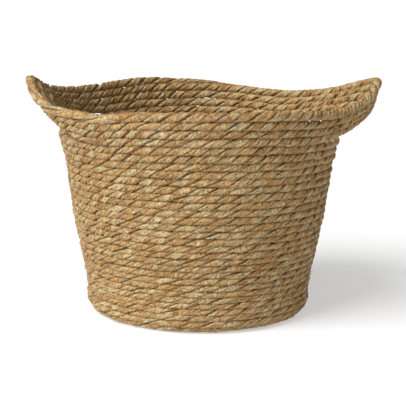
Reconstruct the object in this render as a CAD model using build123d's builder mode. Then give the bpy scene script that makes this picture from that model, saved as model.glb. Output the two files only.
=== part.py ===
from build123d import *
from math import cos, degrees, exp, hypot, pi, radians, sin, tan, tanh
import os

# A round storage basket coiled from one long seagrass rope and sewn row to row.
# The rope starts at the middle of the floor, runs out clockwise (seen from above) as a flat
# spiral, turns up round the foot and climbs the wall as a helix. Its last four turns are the
# band: they swing out and up at +X and -X into two pointed handles, and leave a hand slot
# above the wall there. Origin: centre of the base, on the surface that the basket stands on.

# Driving dimensions, in millimetres and degrees.
FLOOR_RADIUS = 136.0      # rope centre where the flat coil ends and the foot begins
FOOT_RADIUS = 17.8        # rounding of the foot, to the rope's centre
FOOT_PITCH = 8.4          # row spacing on the floor and round the foot
BAND_PITCH = 10.7         # row spacing at the top
WALL_TURNS = 28
BAND_TURNS = 4
STANDING_FLAT = 0.6       # how much of the floor rope is pressed flat underneath
SEAM_GAP = 0.3            # clearance between neighbouring rows
END_GAP = 0.1             # clearance at each end of a row, where the rope runs on

# Rope centre on the wall's section as (height, radius): the wall leans out and flares at the top.
WALL_SECTION = ((21.4, 153.2), (80.0, 161.0), (140.0, 172.6), (200.0, 180.6), (257.0, 193.0))
BAND_LEAN = 2.7           # growth in radius per band turn

START_ANGLE = 67.5        # direction from the axis at which every turn starts, at the back right
HANDLE_HALF_ANGLE = 49.2  # the band leaves the round this far from each handle's axis
TIP_ROUNDING = 4.3        # softens the handles' points

# The handles at +X and -X aren't alike. reach and lift are how far the band's highest turn
# swings out and rises; the low_ values are for its lowest turn. The powers shape the curve
# towards the tip, and the lift has one for the front side of the handle and one for the back.
RIGHT_HANDLE = {
    "reach": 59.7, "low_reach": 58.0, "reach_power": 1.75,
    "lift": 48.5, "low_lift": 43.2, "front_power": 2.73, "back_power": 2.07, "low_power": 0.59,
}
LEFT_HANDLE = {
    "reach": 39.4, "low_reach": 16.0, "reach_power": 1.27,
    "lift": 48.7, "low_lift": 50.8, "front_power": 4.6, "back_power": 2.63, "low_power": 0.5,
}

RIM_WAVE = 6.6            # the rim is this much higher front and back than at the sides
RIM_WAVE_AXIS = 3.6
RIM_WAVE_POWER = 3        # how fast the wave dies out down the wall
SHOULDER_DIP = 4.6        # the rim is pulled down a little at the front left shoulder
SHOULDER_DIRECTION = 225.0
SHOULDER_WIDTH = 9.2
SHOULDER_POWER = 8

VERTEX_STEP = 15.0        # angle between the wall path's corners, each one rounded
BAND_STEPS = (0, 3, 7, 12, 18, 25, 34, 45, 60, 75, 90)  # the band's corners, from a handle's axis
TAIL_TURNS = 0.12         # the rope's end tapers over this part of its last turn
TAIL_SECTIONS = 6
TAIL_TIP_RADIUS = 1.2

STITCH_DIAMETER = 1.6
STITCH_LENGTH = 6.4
STITCHES_PER_SEAM = 12
FLOOR_STITCHES_PER_SEAM = 8
OPEN_SEAM = 1.15 * BAND_PITCH  # rows further apart than this aren't sewn: the hand slots

# Samples for finding the nearest distance between neighbouring rows.
SAMPLES_PER_TURN = 96
NEAREST_SPREAD = 6
NEAREST_STEP = 1 / 400

FLOOR_ROPE = FOOT_PITCH - SEAM_GAP
FLOOR_HEIGHT = FLOOR_ROPE / 2 - STANDING_FLAT
FOOT_TURNS = FOOT_RADIUS * pi / 2 / FOOT_PITCH
ALL_TURNS = WALL_TURNS + BAND_TURNS
PITCH_GROWTH = (BAND_PITCH - FOOT_PITCH) / (WALL_TURNS - FOOT_TURNS)


def wall_radius(height):
    """Radius of the rope's centre on the wall: the smooth curve through WALL_SECTION."""
    total = 0.0
    for own_height, own_radius in WALL_SECTION:
        weight = 1.0
        for other_height, _ in WALL_SECTION:
            if other_height != own_height:
                weight *= (height - other_height) / (own_height - other_height)
        total += own_radius * weight
    return total


def section_point(turn):
    """Radius and height of the rope's centre, before the rim's wave and the handles."""
    if turn < 0:
        return FLOOR_RADIUS + FOOT_PITCH * turn, FLOOR_HEIGHT
    if turn <= FOOT_TURNS:
        climb = turn * FOOT_PITCH / FOOT_RADIUS
        radius = FLOOR_RADIUS + FOOT_RADIUS * sin(climb)
        return radius, FLOOR_HEIGHT + FOOT_RADIUS * (1 - cos(climb))
    climbed = min(turn, WALL_TURNS) - FOOT_TURNS
    height = FLOOR_HEIGHT + FOOT_RADIUS + FOOT_PITCH * climbed + PITCH_GROWTH * climbed**2 / 2
    band = max(0.0, turn - WALL_TURNS)
    return wall_radius(height) + BAND_LEAN * band, height + BAND_PITCH * band


def between(low, high, share):
    """The value this share of the way from low to high."""
    return low + (high - low) * share


def handle_swing(angle, share):
    """How far a band turn swings out and rises; share is 0 on the lowest, 1 on the highest."""
    handle = RIGHT_HANDLE if cos(angle) > 0 else LEFT_HANDLE
    off_axis = abs((degrees(angle) + 90) % 180 - 90)
    closeness = max(0.0, 1 - hypot(off_axis, TIP_ROUNDING) / HANDLE_HALF_ANGLE)
    backness = (1 + tanh(8 * sin(angle))) / 2
    power = between(handle["front_power"], handle["back_power"], backness)
    power *= between(handle["low_power"], 1, share)
    reach = between(handle["low_reach"], handle["reach"], share)
    lift = between(handle["low_lift"], handle["lift"], share)
    return reach * closeness ** handle["reach_power"], lift * closeness**power


def rope_centre(turn):
    """Centre of the rope after this many turns of the wall; whole turns start at START_ANGLE."""
    angle = radians(START_ANGLE) - 2 * pi * turn
    radius, height = section_point(turn)
    climbed = max(0, turn / ALL_TURNS)
    height -= RIM_WAVE * climbed**RIM_WAVE_POWER * cos(2 * (angle - radians(RIM_WAVE_AXIS)))
    off_shoulder = (degrees(angle) - SHOULDER_DIRECTION + 180) % 360 - 180
    height -= SHOULDER_DIP * climbed**SHOULDER_POWER * exp(-(off_shoulder / SHOULDER_WIDTH) ** 2)
    if turn > WALL_TURNS:
        out, up = handle_swing(angle, (turn - WALL_TURNS) / BAND_TURNS)
        radius += out
        height += up
    return Vector(radius * cos(angle), radius * sin(angle), height)


def row_diameter(row):
    """Thickest rope that clears the rows above and below this one all the way round."""
    room = []
    for sample in range(SAMPLES_PER_TURN):
        turn = row - 1 + sample / SAMPLES_PER_TURN
        here = rope_centre(turn)
        for beside in range(-NEAREST_SPREAD, NEAREST_SPREAD + 1):
            across = 1 + beside * NEAREST_STEP
            room.append((here - rope_centre(turn - across)).length)
            if turn + across < ALL_TURNS:
                room.append((here - rope_centre(turn + across)).length)
    return min(room) - SEAM_GAP


def corner_turns(row, in_band):
    """Turn numbers of a row's path corners, closer together where the band forms a handle."""
    if not in_band:
        count = round(360 / VERTEX_STEP)
        return [row - 1 + (corner + 0.5) / count for corner in range(count)]
    angles = set()
    for step in BAND_STEPS:
        angles.update({step, -step, 180 - step, step - 180})
    travelled = sorted({(START_ANGLE - angle) % 360 for angle in angles})
    return [row - 1 + angle / 360 for angle in travelled]


def path_corner(turn, in_band):
    """A corner of the path, set out a little so that the rounded path keeps to the circle."""
    point = rope_centre(turn)
    off_axis = abs((START_ANGLE - 360 * turn + 90) % 180 - 90)
    if in_band and off_axis < HANDLE_HALF_ANGLE:
        return point
    outset = 1 / cos(radians(VERTEX_STEP / 2))
    return Vector(point.X * outset, point.Y * outset, point.Z)


def corner_radii(points):
    """Rounding of each inner corner: 0.45 of its shorter run over the tangent of half the turn."""
    radii = []
    for before, here, after in zip(points, points[1:], points[2:]):
        run_in, run_out = here - before, after - here
        half_turn = radians(run_in.get_angle(run_out)) / 2
        radii.append(0.45 * min(run_in.length, run_out.length) / tan(half_turn))
    return radii


def row_path_points(row, end_turn):
    """Start, corners and end of one row's path; the rows meet end to end in mid-run."""
    in_band = row > WALL_TURNS
    corners = [t for t in corner_turns(row, in_band) if t < end_turn - 0.01]
    inner = [path_corner(t, in_band) for t in corners]
    start, end = rope_centre(row - 1), rope_centre(end_turn)
    start += (inner[0] - start).normalized() * END_GAP
    end += (inner[-1] - end).normalized() * END_GAP
    return [start, *inner, end]


def sweep_rope(points, diameter):
    """The rope along straight runs joined by tangent arcs."""
    with BuildPart() as rope:
        with BuildLine() as path:
            FilletPolyline(*points, radius=corner_radii(points))
        with BuildSketch(Plane(origin=path.line @ 0, z_dir=path.line % 0)):
            Circle(diameter / 2)
        sweep(path=path.line)
    return rope


os.makedirs("parts", exist_ok=True)

# Floor: one flat spiral of quarter arcs about the four corners of a small square. Each
# quarter's radius is a quarter of the pitch less than the next one's.
quarter_step = FOOT_PITCH / 4
corner = quarter_step / 2
corners_inward = ((corner, corner), (corner, -corner), (-corner, -corner), (-corner, corner))
outer_quarter_radius = FLOOR_RADIUS - corner
smallest_quarter_radius = 0.53 * FLOOR_ROPE
quarters = 1 + int((outer_quarter_radius - smallest_quarter_radius) / quarter_step)
start_direction = Vector(cos(radians(START_ANGLE)), sin(radians(START_ANGLE)), 0)
floor_plane = Plane(origin=(0, 0, FLOOR_HEIGHT), x_dir=start_direction, z_dir=(0, 0, -1))
with BuildPart() as base_coil:
    with BuildLine(floor_plane) as spiral:
        for inward in reversed(range(quarters)):
            CenterArc(
                corners_inward[inward % 4],
                outer_quarter_radius - quarter_step * inward,
                -90 * (inward + 1),
                90,
            )
    with BuildSketch(Plane(origin=spiral.line @ 0, z_dir=spiral.line % 0)):
        Circle(FLOOR_ROPE / 2)
    sweep(path=spiral.line)
    split(bisect_by=Plane.XY, keep=Keep.TOP)
base_coil.part.label = "base_coil"
export_step(base_coil.part, "parts/base_coil.step")
floor_end = spiral.line @ 1

# Wall and band: one node per turn of the rope, each starting where the last one ends.
for row in range(1, ALL_TURNS + 1):
    is_last = row == ALL_TURNS
    points = row_path_points(row, row - TAIL_TURNS if is_last else row)
    if row == 1:
        points[0] = floor_end + (points[1] - floor_end).normalized() * END_GAP
    turn_of_rope = sweep_rope(points, row_diameter(row))
    if row == 1:
        with BuildPart() as pressed:
            add(turn_of_rope.part)
            split(bisect_by=Plane.XY, keep=Keep.TOP)
        turn_of_rope = pressed
    if row <= WALL_TURNS:
        name = f"wall_row_{row:02d}"
    else:
        name = f"handle_band_row_{row - WALL_TURNS}"
    turn_of_rope.part.label = name
    export_step(turn_of_rope.part, f"parts/{name}.step")

# The rope's end: the last row goes on, thinning out, and sinks against the row below.
end_radius = row_diameter(ALL_TURNS) / 2
end_directions = [points[-1] - points[-2]]
end_centres, end_radii = [points[-1]], [end_radius]
for section in range(1, TAIL_SECTIONS + 1):
    along = section / TAIL_SECTIONS
    turn = ALL_TURNS - TAIL_TURNS * (1 - along)
    radius = end_radius + (TAIL_TIP_RADIUS - end_radius) * along
    end_centres.append(rope_centre(turn) - Vector(0, 0, end_radius - radius))
    end_directions.append(rope_centre(turn + 0.01) - rope_centre(turn - 0.01))
    end_radii.append(radius)
with BuildPart() as rope_end:
    for centre, direction, radius in zip(end_centres, end_directions, end_radii):
        with BuildSketch(Plane(origin=centre, z_dir=direction)):
            Circle(radius)
    loft()
rope_end.part.label = "rope_end"
export_step(rope_end.part, "parts/rope_end.step")


def stitch_planes(first_row, last_row, per_row):
    """Where stitches cross the seams above these rows: middle, direction and seam width."""
    found = []
    for row in range(first_row, last_row + 1):
        stagger = 0.25 + 0.5 * (row % 2)
        for stitch in range(per_row):
            turn = row - 1 + (stitch + stagger) / per_row
            lower, upper = rope_centre(turn), rope_centre(turn + 1)
            is_sewn = (upper - lower).length < OPEN_SEAM and turn + 1 < ALL_TURNS - TAIL_TURNS
            if is_sewn:
                found.append(Plane(origin=(lower + upper) / 2, z_dir=upper - lower))
    return found


seams = {
    "floor_stitches": stitch_planes(2 - quarters // 4, 0, FLOOR_STITCHES_PER_SEAM),
    "wall_stitches": stitch_planes(1, WALL_TURNS - 1, STITCHES_PER_SEAM),
    "band_stitches": stitch_planes(WALL_TURNS, ALL_TURNS - 1, STITCHES_PER_SEAM),
}
for name, planes in seams.items():
    with BuildPart() as stitches:
        with Locations(*planes):
            Cylinder(STITCH_DIAMETER / 2, STITCH_LENGTH)
    stitches.part.label = name
    export_step(stitches.part, f"parts/{name}.step")
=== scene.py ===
from math import cos, pi, radians, sin

import bpy
import numpy as np
from mathutils import Matrix, Vector


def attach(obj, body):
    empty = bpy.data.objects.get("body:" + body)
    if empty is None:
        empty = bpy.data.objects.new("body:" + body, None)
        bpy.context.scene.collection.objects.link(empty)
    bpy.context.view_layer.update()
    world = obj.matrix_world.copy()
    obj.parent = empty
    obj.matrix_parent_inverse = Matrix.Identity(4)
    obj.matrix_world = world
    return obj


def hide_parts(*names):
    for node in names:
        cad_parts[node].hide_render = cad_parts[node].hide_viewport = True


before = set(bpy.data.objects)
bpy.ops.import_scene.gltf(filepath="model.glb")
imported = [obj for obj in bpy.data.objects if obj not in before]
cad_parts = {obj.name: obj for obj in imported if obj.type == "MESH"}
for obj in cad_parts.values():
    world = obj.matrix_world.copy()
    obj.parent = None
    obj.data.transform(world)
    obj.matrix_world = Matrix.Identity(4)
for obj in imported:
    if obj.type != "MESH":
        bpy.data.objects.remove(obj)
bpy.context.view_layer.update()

# The rope's path, in metres and degrees: the CAD model's, but curled in further at the floor's
# middle. Turns are counted from the end of the flat floor coil, so the floor's are negative.
FLOOR_RADIUS = 0.136      # rope centre where the flat coil ends and the foot begins
FLOOR_HEIGHT = 0.00345
FLOOR_TURNS = 16.15       # enough to close the middle
FOOT_RADIUS = 0.0178
FOOT_PITCH = 0.0084       # row spacing on the floor and round the foot
BAND_PITCH = 0.0107       # row spacing at the top
# Each turn of the wall and of the band is one node.
WALL_TURNS = sum(node.startswith("wall_row_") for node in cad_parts)
BAND_TURNS = sum(node.startswith("handle_band_row_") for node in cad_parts)
ALL_TURNS = WALL_TURNS + BAND_TURNS
WALL_SECTION = (          # height and radius of the rope's centre on the wall
    (0.0214, 0.1532), (0.080, 0.1610), (0.140, 0.1726), (0.200, 0.1806), (0.257, 0.1930),
)
BAND_LEAN = 0.0027        # how much further out each row of the band is
START_ANGLE = 67.5        # where every turn starts and the rope ends, at the back right
HANDLE_HALF_ANGLE = 49.2  # from a handle's tip to where it leaves the rim
TIP_ROUNDING = 4.3
SIDE_CHANGE = 8           # how quickly the front side's steepness becomes the back side's
RIGHT_HANDLE = {          # how far its tip swings out and up, and how steeply its sides drop
    "reach": 0.0597, "low_reach": 0.0580, "reach_power": 1.75,
    "lift": 0.0485, "low_lift": 0.0432, "front_power": 2.73, "back_power": 2.07, "low_power": 0.59,
}
LEFT_HANDLE = {
    "reach": 0.0394, "low_reach": 0.0160, "reach_power": 1.27,
    "lift": 0.0487, "low_lift": 0.0508, "front_power": 4.6, "back_power": 2.63, "low_power": 0.5,
}
RIM_WAVE = 0.0066         # the rim sinks towards the handles, and the rows below follow less
RIM_WAVE_AXIS = 3.6       # the direction in which it is lowest
RIM_WAVE_POWER = 3
SHOULDER_DIP = 0.0046     # the rim's own dip beside the left handle, at the front
SHOULDER_DIRECTION = 225.0
SHOULDER_WIDTH = 9.2
SHOULDER_POWER = 8
TAIL_TURNS = 0.12         # the rope's end tapers over this part of its last turn
TAIL_THINNING = 0.78
FOOT_TURNS = FOOT_RADIUS * pi / 2 / FOOT_PITCH
PITCH_GROWTH = (BAND_PITCH - FOOT_PITCH) / (WALL_TURNS - FOOT_TURNS)

# The rope's make: two strands laid round each other and pressed between the rows.
PATH_SAMPLES = 120000     # places where the path is measured, to space the rings evenly
RING_SPACING = 0.0014     # distance between the mesh rings along the rope
RING_POINTS = 22          # points round one strand
STRANDS = 2
LAY_AT_FOOT = 0.055       # rope length in which a strand goes once round
LAY_AT_RIM = 0.043
ROPE_RADIUS = 0.590       # of the row spacing
OFFSET_AT_FOOT = 0.40     # from the rope's centre to the strand's, of the rope's radius
OFFSET_AT_RIM = 0.43
STRAND_WIDTH = 0.91       # half a strand's width, of the rope's radius
PRESSED = 0.80            # how far a row reaches towards the next, of the spacing between them
PRESSED_POWER = 5         # how flat it is pressed there
MOST_SQUEEZED = 0.7       # the rope bulges no further once it is squeezed to this share
FREE_ROOM = 1.3           # how far it reaches where no row lies beside it, of the row spacing
LOOSE_DIRECTION = 95      # the seam under the band is sewn loosely at the back, with a few gaps
LOOSE_WIDTH = 24
LOOSE_SPACING = 3.0       # degrees from one looser place to the next
LOOSENESS = 0.5           # how much less the rows reach towards each other there
SLACK_DIRECTION = 208     # the rim has lost most of its twist here, beside the left handle
SLACK_WIDTH = 24
SLACK_LAY = 3.0           # the lay there is longer by this many times
BLUNT_THINNING = 0.14     # what the rope's end still loses, at its very tip
BLUNT_POWER = 8
VARIATION = {             # how far the rope strays from its make, and over what length of it
    "lay": (0.20, 0.08),
    "short_lay": (0.14, 0.025),
    "second_strand_angle": (0.45, 0.03),
    "thickness": (0.045, 0.04),
    "out": (0.0006, 0.05),
    "short_out": (0.0003, 0.02),
    "across": (0.0008, 0.025),
    "swelling": (0.08, 0.013),
}
ROUGH_AT_FOOT = 1.5       # how strongly the leaves and crumples show
ROUGH_AT_RIM = 0.8
LEAF_LENGTH, LEAVES_ROUND, LEAF_SWELLING = 0.014, 8, 0.15
LEAF_LEVEL = 0.4
CRUMPLE_LENGTH, CRUMPLES_ROUND, CRUMPLE_SWELLING = 0.004, 9, 0.075
CAP_SHARE = 0.02          # cut ends take the colour this share of the way round, deep in the rope, where the painted crease shade is darkest

# The sewing thread and the leaf ends that stand off.
STITCHES_PER_FLOOR_ROW = 8
STITCHES_PER_ROW = 12
LOWEST_STITCHED_ROW = -13
FIRST_STITCH = 0.25       # of the distance between stitches
STAGGER = 0.5             # how much further on they are in every other row
STITCH_ENDS = (0.2, 0.8)  # of the way from one row's centre to the next
STITCH_POINTS = 5
STITCH_LENGTH = 0.006
OPEN_SEAM = 1.15          # rows this many band pitches apart aren't sewn together
TWINE_RADIUS = 0.0007
FIBRES = 150
FIBRE_POINTS = 6
FIBRE_LENGTH = (0.006, 0.016)
FIBRE_RADIUS = (0.00012, 0.00028)
FIBRE_ROOT = 0.85         # of the rope's radius
FIBRE_LIFT = (0.12, 0.5)  # of the fibre's length
FIBRE_SPREAD = 0.35       # how far it turns aside from the rope
FIBRE_BEND = 0.0006
FIBRES_OUTSIDE = 0.8      # in the band; on the wall they are all outside

random = np.random.default_rng(7)


# ---------------------------------------------------------------- path

def between(low, high, share):
    """The value this share of the way from low to high."""
    return low + (high - low) * share


def nearness(degrees, direction, width):
    """1 in this direction, falling smoothly to 0 within about twice this width of it."""
    off = (degrees - direction + 180) % 360 - 180
    return np.exp(-((off / width) ** 2))


def wall_radius(height):
    """The smooth curve through WALL_SECTION."""
    total = 0.0
    for own_height, own_radius in WALL_SECTION:
        weight = 1.0
        for other_height, _ in WALL_SECTION:
            if other_height != own_height:
                weight = weight * (height - other_height) / (own_height - other_height)
        total = total + own_radius * weight
    return total


def section_points(turns):
    """Radius and height of the rope's centre, before the rim's wave and the handles."""
    climb = np.clip(turns * FOOT_PITCH / FOOT_RADIUS, 0, pi / 2)
    foot_radius = FLOOR_RADIUS + FOOT_PITCH * np.clip(turns, None, 0) + FOOT_RADIUS * np.sin(climb)
    foot_height = FLOOR_HEIGHT + FOOT_RADIUS * (1 - np.cos(climb))
    climbed = np.clip(turns, FOOT_TURNS, WALL_TURNS) - FOOT_TURNS
    height = FLOOR_HEIGHT + FOOT_RADIUS + FOOT_PITCH * climbed + PITCH_GROWTH * climbed**2 / 2
    band = np.clip(turns - WALL_TURNS, 0, None)
    on_foot = turns <= FOOT_TURNS
    radius = np.where(on_foot, foot_radius, wall_radius(height) + BAND_LEAN * band)
    return radius, np.where(on_foot, foot_height, height + BAND_PITCH * band)


def handle_swing(angle, share):
    """How far the band swings out and rises; share is 0 on its lowest turn, 1 on its highest."""
    def of_handle(name):
        return np.where(np.cos(angle) > 0, RIGHT_HANDLE[name], LEFT_HANDLE[name])

    off_axis = np.abs((np.degrees(angle) + 90) % 180 - 90)
    closeness = np.clip(1 - np.hypot(off_axis, TIP_ROUNDING) / HANDLE_HALF_ANGLE, 0, None)
    backness = (1 + np.tanh(SIDE_CHANGE * np.sin(angle))) / 2
    power = between(of_handle("front_power"), of_handle("back_power"), backness)
    power = power * between(of_handle("low_power"), 1, share)
    reach = between(of_handle("low_reach"), of_handle("reach"), share)
    lift = between(of_handle("low_lift"), of_handle("lift"), share)
    return reach * closeness ** of_handle("reach_power"), lift * closeness**power


def rope_centres(turns):
    """Centre of the rope after each of these numbers of wall turns."""
    angle = radians(START_ANGLE) - 2 * pi * turns
    radius, height = section_points(turns)
    climbed = np.clip(turns / ALL_TURNS, 0, None)
    wave = np.cos(2 * (angle - radians(RIM_WAVE_AXIS)))
    height = height - RIM_WAVE * climbed**RIM_WAVE_POWER * wave
    dip = nearness(np.degrees(angle), SHOULDER_DIRECTION, SHOULDER_WIDTH)
    height = height - SHOULDER_DIP * climbed**SHOULDER_POWER * dip
    out, up = handle_swing(angle, np.clip((turns - WALL_TURNS) / BAND_TURNS, 0, 1))
    in_band = turns > WALL_TURNS
    radius = radius + np.where(in_band, out, 0)
    height = height + np.where(in_band, up, 0)
    return np.stack([radius * np.cos(angle), radius * np.sin(angle), height], -1)


# ---------------------------------------------------------------- rope

def eased(part):
    """A share from 0 to 1 that starts and ends gently."""
    return part * part * (3 - 2 * part)


def smooth_columns(positions, spacing, columns):
    """Columns of random values from -1 to 1, one each spacing, with smooth curves between."""
    cells = (positions - positions.min()) / spacing
    values = random.uniform(-1, 1, (int(cells.max()) + 3, columns))
    low = cells.astype(int)
    part = eased(cells - low)[:, None]
    return values[low] * (1 - part) + values[low + 1] * part


def smooth_noise(positions, spacing):
    """Smooth random values from -1 to 1 at these positions."""
    return smooth_columns(positions, spacing, 1)[:, 0]


def surface_noise(along, around, spacing, sides):
    """Smooth random values over a strand's surface, with this many of them round it."""
    values = smooth_columns(along, spacing, sides)
    place = (around / (2 * pi) % 1) * sides
    first = place.astype(int) % sides
    part = eased(place % 1)
    return values[:, first] * (1 - part) + values[:, (first + 1) % sides] * part


def variation(along, quality):
    """How far this quality of the rope strays at these distances along it."""
    amount, spacing = VARIATION[quality]
    return amount * smooth_noise(along, spacing)


def unit(vectors):
    """The same directions with a length of 1."""
    return vectors / np.linalg.norm(vectors, axis=-1, keepdims=True)


class Rope:
    """The whole rope, sampled evenly from the floor's middle to the rim's end."""

    def __init__(self):
        turns = np.linspace(-FLOOR_TURNS, ALL_TURNS, PATH_SAMPLES)
        steps = np.linalg.norm(np.diff(rope_centres(turns), axis=0), axis=1)
        length = np.concatenate([[0], np.cumsum(steps)])
        self.along = np.arange(0, length[-1], RING_SPACING)
        self.turns = np.interp(self.along, length, turns)
        self.direction = (START_ANGLE - 360 * self.turns) % 360
        self.centres = rope_centres(self.turns)
        self.set_directions()
        self.set_room()
        self.set_lay()
        self.set_thickness()

    def set_directions(self):
        """Along the rope, out of the basket's surface, and across towards the row before."""
        self.forward = unit(np.gradient(self.centres, axis=0))
        climb = np.clip(self.turns * FOOT_PITCH / FOOT_RADIUS, 0, pi / 2)[:, None]
        out = unit(self.centres * (1, 1, 0)) * np.sin(climb) - np.cos(climb) * (0, 0, 1)
        self.out = unit(out - self.forward * (out * self.forward).sum(1, keepdims=True))
        self.across = np.cross(self.out, self.forward)

    def set_room(self):
        """Row spacing here, how far the rope can reach to the rows before and after it, and how
        far it bulges in and out where they squeeze it."""
        climbed = np.clip(self.turns, FOOT_TURNS, WALL_TURNS) - FOOT_TURNS
        self.pitch = FOOT_PITCH + PITCH_GROWTH * climbed
        before = ((rope_centres(self.turns - 1) - self.centres) * self.across).sum(1)
        after = ((self.centres - rope_centres(self.turns + 1)) * self.across).sum(1)
        free = self.pitch * FREE_ROOM
        after = np.where(self.turns + 1 > ALL_TURNS, free, after)
        self.room_before = PRESSED * np.clip(np.abs(before), None, free)
        self.room_after = PRESSED * np.clip(np.abs(after), None, free)
        loose = nearness(self.direction, LOOSE_DIRECTION, LOOSE_WIDTH)
        loose = loose * np.clip(smooth_noise(self.direction, LOOSE_SPACING), 0, 1)
        in_last_wall_row = (self.turns > WALL_TURNS - 1) & (self.turns < WALL_TURNS)
        in_first_band_row = (self.turns > WALL_TURNS) & (self.turns < WALL_TURNS + 1)
        self.room_after *= 1 - LOOSENESS * loose * in_last_wall_row
        self.room_before *= 1 - LOOSENESS * loose * in_first_band_row
        squeezed = (self.room_before + self.room_after) / self.pitch / PRESSED / 2
        self.bulge = np.clip(squeezed, MOST_SQUEEZED, 1) ** -0.5

    def set_lay(self):
        """Angle of the first strand round the rope. The lay shortens upwards and varies, and the
        second strand leans a little towards or away from its place opposite."""
        lay = between(LAY_AT_FOOT, LAY_AT_RIM, np.clip(self.turns / ALL_TURNS, 0, 1))
        uneven = variation(self.along, "lay") + variation(self.along, "short_lay")
        slack = nearness(self.direction, SLACK_DIRECTION, SLACK_WIDTH)
        slack = slack * (self.turns > ALL_TURNS - 1)
        lay = lay * (1 + uneven) * (1 + SLACK_LAY * slack)
        self.phase = 2 * pi * np.cumsum(RING_SPACING / lay)
        self.lean = variation(self.along, "second_strand_angle")

    def set_thickness(self):
        """The rope's uneven thickness, its thin end, and how it wanders from its line."""
        full = self.pitch * ROPE_RADIUS * (1 + variation(self.along, "thickness"))
        tail = np.clip((self.turns - ALL_TURNS + TAIL_TURNS) / TAIL_TURNS, 0, 1)
        self.radius = full * (1 - TAIL_THINNING * tail - BLUNT_THINNING * tail**BLUNT_POWER)
        self.centres[:, 2] -= full - self.radius
        out_by = variation(self.along, "out") + variation(self.along, "short_out")
        across_by = variation(self.along, "across")
        self.centres += self.out * out_by[:, None] + self.across * across_by[:, None]

    def strand_points(self, rings, strand):
        """Mesh points of one strand over these rings, as rings by points by xyz."""
        def column(values):
            return values[rings][:, None]

        angle = column(self.phase) + strand * (2 * pi / STRANDS + column(self.lean))
        around = np.linspace(-pi, pi, RING_POINTS, endpoint=False)
        swelling = self.leaf_ridges(rings, around)
        size = column(self.radius)
        climbed = np.clip(column(self.turns) / ALL_TURNS, 0, 1)
        offset = between(OFFSET_AT_FOOT, OFFSET_AT_RIM, climbed)
        depth = size * (offset + (1 - offset) * np.cos(around) * swelling)
        width = size * STRAND_WIDTH * np.sin(around) * swelling
        out = (depth * np.cos(angle) - width * np.sin(angle)) * column(self.bulge)
        across = depth * np.sin(angle) + width * np.cos(angle)
        room = np.where(across > 0, column(self.room_before), column(self.room_after))
        across = across / (1 + np.abs(across / room) ** PRESSED_POWER) ** (1 / PRESSED_POWER)
        points = self.centres[rings][:, None, :] + out[:, :, None] * self.out[rings][:, None, :]
        points = points + across[:, :, None] * self.across[rings][:, None, :]
        points[:, :, 2] = np.maximum(points[:, :, 2], 0)
        return points

    def leaf_ridges(self, rings, around):
        """Uneven swelling round a strand from the leaves in it, rougher towards the foot."""
        along = self.along[rings]
        climbed = np.clip(self.turns[rings] / ALL_TURNS, 0, 1)[:, None]
        rough = between(ROUGH_AT_FOOT, ROUGH_AT_RIM, climbed)
        swelling = 1 + variation(along, "swelling")[:, None]
        leaves = np.abs(surface_noise(along, around, LEAF_LENGTH, LEAVES_ROUND)) - LEAF_LEVEL
        crumples = surface_noise(along, around, CRUMPLE_LENGTH, CRUMPLES_ROUND)
        return swelling + rough * (LEAF_SWELLING * leaves + CRUMPLE_SWELLING * crumples)


# ---------------------------------------------------------------- meshes

def tube_faces(along, sides, number):
    """Corners, their UVs and the face sizes of one closed tube. It has a ring of this many sides
    at each of these distances along the rope."""
    rings = len(along)
    first = np.arange(rings - 1)[:, None] * sides
    here = np.arange(sides)[None, :]
    after = (here + 1) % sides
    last = first + sides
    quads = np.stack([first + here, first + after, last + after, last + here], -1)
    start = np.broadcast_to(along[:-1, None], (rings - 1, sides))
    end = np.broadcast_to(along[1:, None], (rings - 1, sides))
    left = np.broadcast_to(here / sides, (rings - 1, sides)) + number
    right = left + 1 / sides
    u = np.stack([start, start, end, end], -1)
    v = np.stack([left, right, right, left], -1)
    caps = np.concatenate([here[0][::-1], here[0] + (rings - 1) * sides])
    cap_u = np.repeat([along[0], along[-1]], sides)
    # the caps' UVs fall in the painted crease shade, so the cut ends are painted dark
    cap_uvs = np.stack([cap_u, np.full(2 * sides, number + CAP_SHARE)], -1)
    corners = np.concatenate([quads.ravel(), caps])
    uvs = np.concatenate([np.stack([u, v], -1).reshape(-1, 2), cap_uvs])
    sizes = np.concatenate([np.full((rings - 1) * sides, 4), np.full(2, sides)])
    return corners, uvs, sizes


def tube_mesh(name, tubes, uvs_along, material):
    """One mesh of closed, capped tubes. Its UV map holds the distance along the rope, and the
    share of the way round the tube plus the tube's number."""
    points, corners, corner_uvs, face_sizes = [], [], [], []
    point_count = 0
    for number, (tube, along) in enumerate(zip(tubes, uvs_along)):
        tube_corners, tube_uvs, tube_sizes = tube_faces(along, tube.shape[1], number)
        points.append(tube.reshape(-1, 3))
        corners.append(tube_corners + point_count)
        corner_uvs.append(tube_uvs)
        face_sizes.append(tube_sizes)
        point_count += len(points[-1])
    points = np.concatenate(points)
    corners = np.concatenate(corners)
    face_sizes = np.concatenate(face_sizes)
    mesh = bpy.data.meshes.new(name)
    mesh.vertices.add(len(points))
    mesh.vertices.foreach_set("co", points.astype(np.float32).ravel())
    mesh.loops.add(len(corners))
    mesh.loops.foreach_set("vertex_index", corners.astype(np.int32))
    mesh.polygons.add(len(face_sizes))
    starts = np.concatenate([[0], np.cumsum(face_sizes)[:-1]])
    mesh.polygons.foreach_set("loop_start", starts.astype(np.int32))
    mesh.polygons.foreach_set("use_smooth", np.ones(len(face_sizes), dtype=bool))
    layer = mesh.uv_layers.new(name="RopeUV")
    layer.data.foreach_set("uv", np.concatenate(corner_uvs).astype(np.float32).ravel())
    mesh.materials.append(material)
    mesh.update()
    mesh.validate()
    piece = bpy.data.objects.new(name, mesh)
    bpy.context.scene.collection.objects.link(piece)
    return piece


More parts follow.
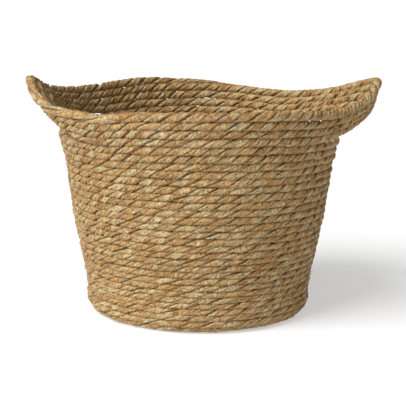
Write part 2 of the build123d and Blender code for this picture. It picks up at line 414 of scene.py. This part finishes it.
def thin_tube(line, radius, sides=5):
    """A thin tube along a line of points, thinner at both ends."""
    forward = unit(np.gradient(line, axis=0))
    any_direction = (0.31, 0.17, 0.93)
    aside = unit(np.cross(forward, any_direction))
    other = np.cross(forward, aside)
    around = np.linspace(0, 2 * pi, sides, endpoint=False)[None, :, None]
    size = np.full(len(line), radius)
    size[[0, -1]] *= 0.3
    ring = np.cos(around) * aside[:, None, :] + np.sin(around) * other[:, None, :]
    return line[:, None, :] + size[:, None, None] * ring


def add_rope(rope, material):
    """One piece for each CAD node of the rope."""
    rows = [("base_coil", -FLOOR_TURNS, 0)]
    rows += [(f"wall_row_{row:02d}", row - 1, row) for row in range(1, WALL_TURNS + 1)]
    for row in range(1, BAND_TURNS):
        rows.append((f"handle_band_row_{row}", WALL_TURNS + row - 1, WALL_TURNS + row))
    rows.append((f"handle_band_row_{BAND_TURNS}", ALL_TURNS - 1, ALL_TURNS - TAIL_TURNS))
    rows.append(("rope_end", ALL_TURNS - TAIL_TURNS, ALL_TURNS + 1))
    for node, start, end in rows:
        first, last = np.searchsorted(rope.turns, [start, end])
        rings = slice(first, min(last + 1, len(rope.turns)))
        tubes = [rope.strand_points(rings, strand) for strand in range(STRANDS)]
        piece = tube_mesh(node + "_strands", tubes, [rope.along[rings]] * STRANDS, material)
        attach(piece, "root")
        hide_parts(node)


def add_thread(node, first_row, last_row, per_row, material):
    """Twine through the seams above these rows, where the rows lie against each other."""
    tubes = []
    for row in range(first_row, last_row + 1):
        turns = row - 1 + (np.arange(per_row) + FIRST_STITCH + STAGGER * (row % 2)) / per_row
        for low, high in zip(rope_centres(turns), rope_centres(turns + 1)):
            if np.linalg.norm(high - low) < OPEN_SEAM * BAND_PITCH:
                shares = np.linspace(*STITCH_ENDS, STITCH_POINTS)[:, None]
                tubes.append(thin_tube(low + (high - low) * shares, TWINE_RADIUS))
    along = np.linspace(0, STITCH_LENGTH, STITCH_POINTS)
    piece = tube_mesh(node + "_thread", tubes, [along] * len(tubes), material)
    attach(piece, "root")
    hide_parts(node)


def add_stray_fibres(rope, material):
    """Ends of leaves that stand off the rope."""
    tubes, uvs = [], []
    candidates = np.where(rope.turns > FOOT_TURNS)[0]
    for index in random.choice(candidates, FIBRES):
        length = random.uniform(*FIBRE_LENGTH)
        outside = random.random() < FIBRES_OUTSIDE or rope.turns[index] < WALL_TURNS
        away = rope.out[index] if outside else -rope.out[index]
        start = rope.centres[index] + away * rope.radius[index] * FIBRE_ROOT
        heading = rope.forward[index] * random.choice((-1, 1))
        heading = unit(heading + rope.across[index] * random.normal(0, FIBRE_SPREAD))
        share = np.linspace(0, 1, FIBRE_POINTS)[:, None]
        lift = random.uniform(*FIBRE_LIFT)
        line = start + length * (share * heading + lift * share**2 * away)
        line = line + FIBRE_BEND * share * random.normal(0, 1, 3)
        tubes.append(thin_tube(line, random.uniform(*FIBRE_RADIUS), sides=4))
        uvs.append(rope.along[index] + share[:, 0] * length)
    piece = tube_mesh("stray_fibres", tubes, uvs, material)
    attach(piece, "root")


# ---------------------------------------------------------------- materials

class Shade:
    """A Principled material, and short ways to add nodes to it."""

    def __init__(self, name):
        self.material = bpy.data.materials.new(name)
        self.material.use_nodes = True
        self.nodes = self.material.node_tree.nodes
        self.links = self.material.node_tree.links
        self.surface = self.nodes["Principled BSDF"]

    def rope_uv(self):
        """The map from tube_mesh: distance along the rope, and share of the way round."""
        node = self.nodes.new("ShaderNodeUVMap")
        node.uv_map = "RopeUV"
        return node.outputs[0]

    def stretched(self, vector, along, around):
        """The UV map in pattern sizes: this many to a metre along, and to a turn round."""
        node = self.nodes.new("ShaderNodeVectorMath")
        node.operation = "MULTIPLY"
        node.inputs[1].default_value = (along, around, 1)
        self.links.new(vector, node.inputs[0])
        return node.outputs[0]

    def noise(self, vector, detail, roughness):
        node = self.nodes.new("ShaderNodeTexNoise")
        node.inputs["Scale"].default_value = 1
        node.inputs["Detail"].default_value = detail
        node.inputs["Roughness"].default_value = roughness
        self.links.new(vector, node.inputs["Vector"])
        return node.outputs["Fac"]

    def cells(self, vector, feature, output):
        """Patches like leaves: one random value for each, or the distance to its edge."""
        node = self.nodes.new("ShaderNodeTexVoronoi")
        node.feature = feature
        node.inputs["Scale"].default_value = 1
        self.links.new(vector, node.inputs["Vector"])
        return node.outputs[output]

    def mixed(self, first, second, share):
        """Two values mixed, with this share of the second."""
        node = self.nodes.new("ShaderNodeMix")
        node.inputs[0].default_value = share
        self.links.new(first, node.inputs[2])
        self.links.new(second, node.inputs[3])
        return node.outputs[0]

    def ramp(self, factor, stops):
        """Colours or plain shares of light, each at its place between 0 and 1."""
        node = self.nodes.new("ShaderNodeValToRGB")
        while len(node.color_ramp.elements) < len(stops):
            node.color_ramp.elements.new(0.5)
        for element, (place, colour) in zip(node.color_ramp.elements, stops):
            red_green_blue = colour if isinstance(colour, tuple) else (colour, colour, colour)
            element.position = place
            element.color = (*red_green_blue, 1)
        self.links.new(factor, node.inputs[0])
        return node.outputs[0]

    def multiplied(self, first, second):
        node = self.nodes.new("ShaderNodeMix")
        node.data_type = "RGBA"
        node.blend_type = "MULTIPLY"
        node.inputs[0].default_value = 1
        self.links.new(first, node.inputs[6])
        self.links.new(second, node.inputs[7])
        return node.outputs[2]

    def round_share(self, vector):
        """Share of the way round the tube, from 0 to 1."""
        parts = self.nodes.new("ShaderNodeSeparateXYZ")
        self.links.new(vector, parts.inputs[0])
        node = self.nodes.new("ShaderNodeMath")
        node.operation = "FRACT"
        self.links.new(parts.outputs[1], node.inputs[0])
        return node.outputs[0]

    def bump(self, height, strength, distance):
        node = self.nodes.new("ShaderNodeBump")
        node.inputs["Strength"].default_value = strength
        node.inputs["Distance"].default_value = distance
        self.links.new(height, node.inputs["Height"])
        self.links.new(node.outputs[0], self.surface.inputs["Normal"])


def seagrass():
    """Dry seagrass: leaves of mixed colour with fine fibres along them, with painted shade deep in
    the rope, where the strands turn in under each other.
    """
    shade = Shade("seagrass")
    uv = shade.rope_uv()
    leaf_uv = shade.stretched(uv, along=42, around=3.4)
    leaf = shade.cells(leaf_uv, "F1", "Color")
    stain = shade.noise(shade.stretched(uv, along=30, around=1.8), detail=3.0, roughness=0.6)
    leaf_colour = shade.ramp(
        shade.mixed(leaf, stain, 0.6),
        (
            (0.20, (0.270, 0.130, 0.040)),
            (0.32, (0.400, 0.208, 0.066)),
            (0.44, (0.475, 0.282, 0.104)),
            (0.54, (0.510, 0.332, 0.138)),
            (0.65, (0.560, 0.420, 0.218)),
            (0.78, (0.410, 0.338, 0.168)),
        ),
    )
    edge = shade.cells(leaf_uv, "DISTANCE_TO_EDGE", "Distance")
    edge_shade = shade.ramp(edge, ((0.0, 0.60), (0.06, 1.0)))
    fibre = shade.noise(shade.stretched(uv, along=85, around=14), detail=5.0, roughness=0.8)
    fibre_shade = shade.ramp(fibre, ((0.34, 0.28), (0.44, 0.78), (0.54, 1.0), (0.66, 1.22)))
    # painted shade: each strand is darkened towards the crease where it turns in under the other
    # strand, standing in for the shadow there
    painted_crease_shade = shade.ramp(
        shade.round_share(uv),
        ((0.0, 0.30), (0.11, 0.50), (0.19, 1.0), (0.81, 1.0), (0.89, 0.50), (1.0, 0.30)),
    )
    speck = shade.noise(shade.stretched(uv, along=330, around=9), detail=3.0, roughness=0.7)
    speck_shade = shade.ramp(speck, ((0.36, 0.20), (0.45, 0.82), (0.53, 1.0), (0.64, 1.36)))
    colour = shade.multiplied(shade.multiplied(leaf_colour, fibre_shade), painted_crease_shade)
    colour = shade.multiplied(shade.multiplied(colour, edge_shade), speck_shade)
    shade.links.new(colour, shade.surface.inputs["Base Color"])
    shade.surface.inputs["Roughness"].default_value = 0.58
    shade.surface.inputs["Specular IOR Level"].default_value = 0.35
    shade.bump(shade.mixed(fibre, speck, 0.5), strength=1.0, distance=0.0022)
    return shade.material


def twine():
    """Plain undyed twine."""
    shade = Shade("twine")
    thread_uv = shade.stretched(shade.rope_uv(), along=900, around=9)
    fibre = shade.noise(thread_uv, detail=2.0, roughness=0.5)
    colour = shade.ramp(fibre, ((0.3, (0.30, 0.19, 0.08)), (0.7, (0.52, 0.38, 0.20))))
    shade.links.new(colour, shade.surface.inputs["Base Color"])
    shade.surface.inputs["Roughness"].default_value = 0.8
    return shade.material


# ---------------------------------------------------------------- stage

def add_stage():
    """A pale, faintly glowing floor, a soft key light from the upper left, a wide one in front."""
    just_below_basket = -0.0003
    bpy.ops.mesh.primitive_plane_add(size=60, location=(0, 0, just_below_basket))
    floor = bpy.context.object
    floor.name = "floor"
    shade = Shade("floor_white")
    shade.surface.inputs["Base Color"].default_value = (0.55, 0.55, 0.55, 1)
    shade.surface.inputs["Roughness"].default_value = 0.9
    shade.surface.inputs["Specular IOR Level"].default_value = 0
    shade.surface.inputs["Emission Color"].default_value = (1, 1, 1, 1)
    shade.surface.inputs["Emission Strength"].default_value = 0.44
    floor.data.materials.append(shade.material)
    world = bpy.data.worlds.new("studio")
    world.use_nodes = True
    world.node_tree.nodes["Background"].inputs["Color"].default_value = (1, 1, 1, 1)
    world.node_tree.nodes["Background"].inputs["Strength"].default_value = 0.16
    bpy.context.scene.world = world
    add_lamp("key", energy=3.6, width=42, heading=(1.75, 1.1, -1.8))
    add_lamp("front", energy=1.3, width=120, heading=(0.5, 1.0, -0.6))
    bpy.context.scene.view_settings.view_transform = "Standard"


def add_lamp(name, energy, width, heading):
    """A far lamp of this apparent width in degrees, shining along this heading."""
    lamp = bpy.data.lights.new(name, "SUN")
    lamp.energy = energy
    lamp.angle = radians(width)
    holder = bpy.data.objects.new(name, lamp)
    holder.rotation_mode = "QUATERNION"
    holder.rotation_quaternion = Vector(heading).to_track_quat("-Z", "Y")
    bpy.context.scene.collection.objects.link(holder)


def add_camera():
    """Two metres away and a little above, with the basket turned a little to the left."""
    distance, aim_height, aim_right = 2.0, 0.150, 0.006
    elevation, azimuth, roll = radians(11.0), radians(-6.4), radians(0.7)
    back = Vector((sin(azimuth) * cos(elevation), -cos(azimuth) * cos(elevation), sin(elevation)))
    right = Vector((cos(azimuth), sin(azimuth), 0))
    lens = bpy.data.cameras.new("camera")
    lens.sensor_width = 36
    lens.lens = 124.1
    camera = bpy.data.objects.new("camera", lens)
    camera.rotation_mode = "QUATERNION"
    turn = (-back).to_track_quat("-Z", "Y").to_matrix() @ Matrix.Rotation(roll, 3, "Z")
    camera.rotation_quaternion = turn.to_quaternion()
    camera.location = Vector((0, 0, aim_height)) + right * aim_right + back * distance
    bpy.context.scene.collection.objects.link(camera)
    bpy.context.scene.camera = camera


rope = Rope()
rope_material, thread_material = seagrass(), twine()
add_rope(rope, rope_material)
add_thread("floor_stitches", LOWEST_STITCHED_ROW, 0, STITCHES_PER_FLOOR_ROW, thread_material)
add_thread("wall_stitches", 1, WALL_TURNS - 1, STITCHES_PER_ROW, thread_material)
add_thread("band_stitches", WALL_TURNS, ALL_TURNS - 1, STITCHES_PER_ROW, thread_material)
add_stray_fibres(rope, rope_material)
add_stage()
add_camera()
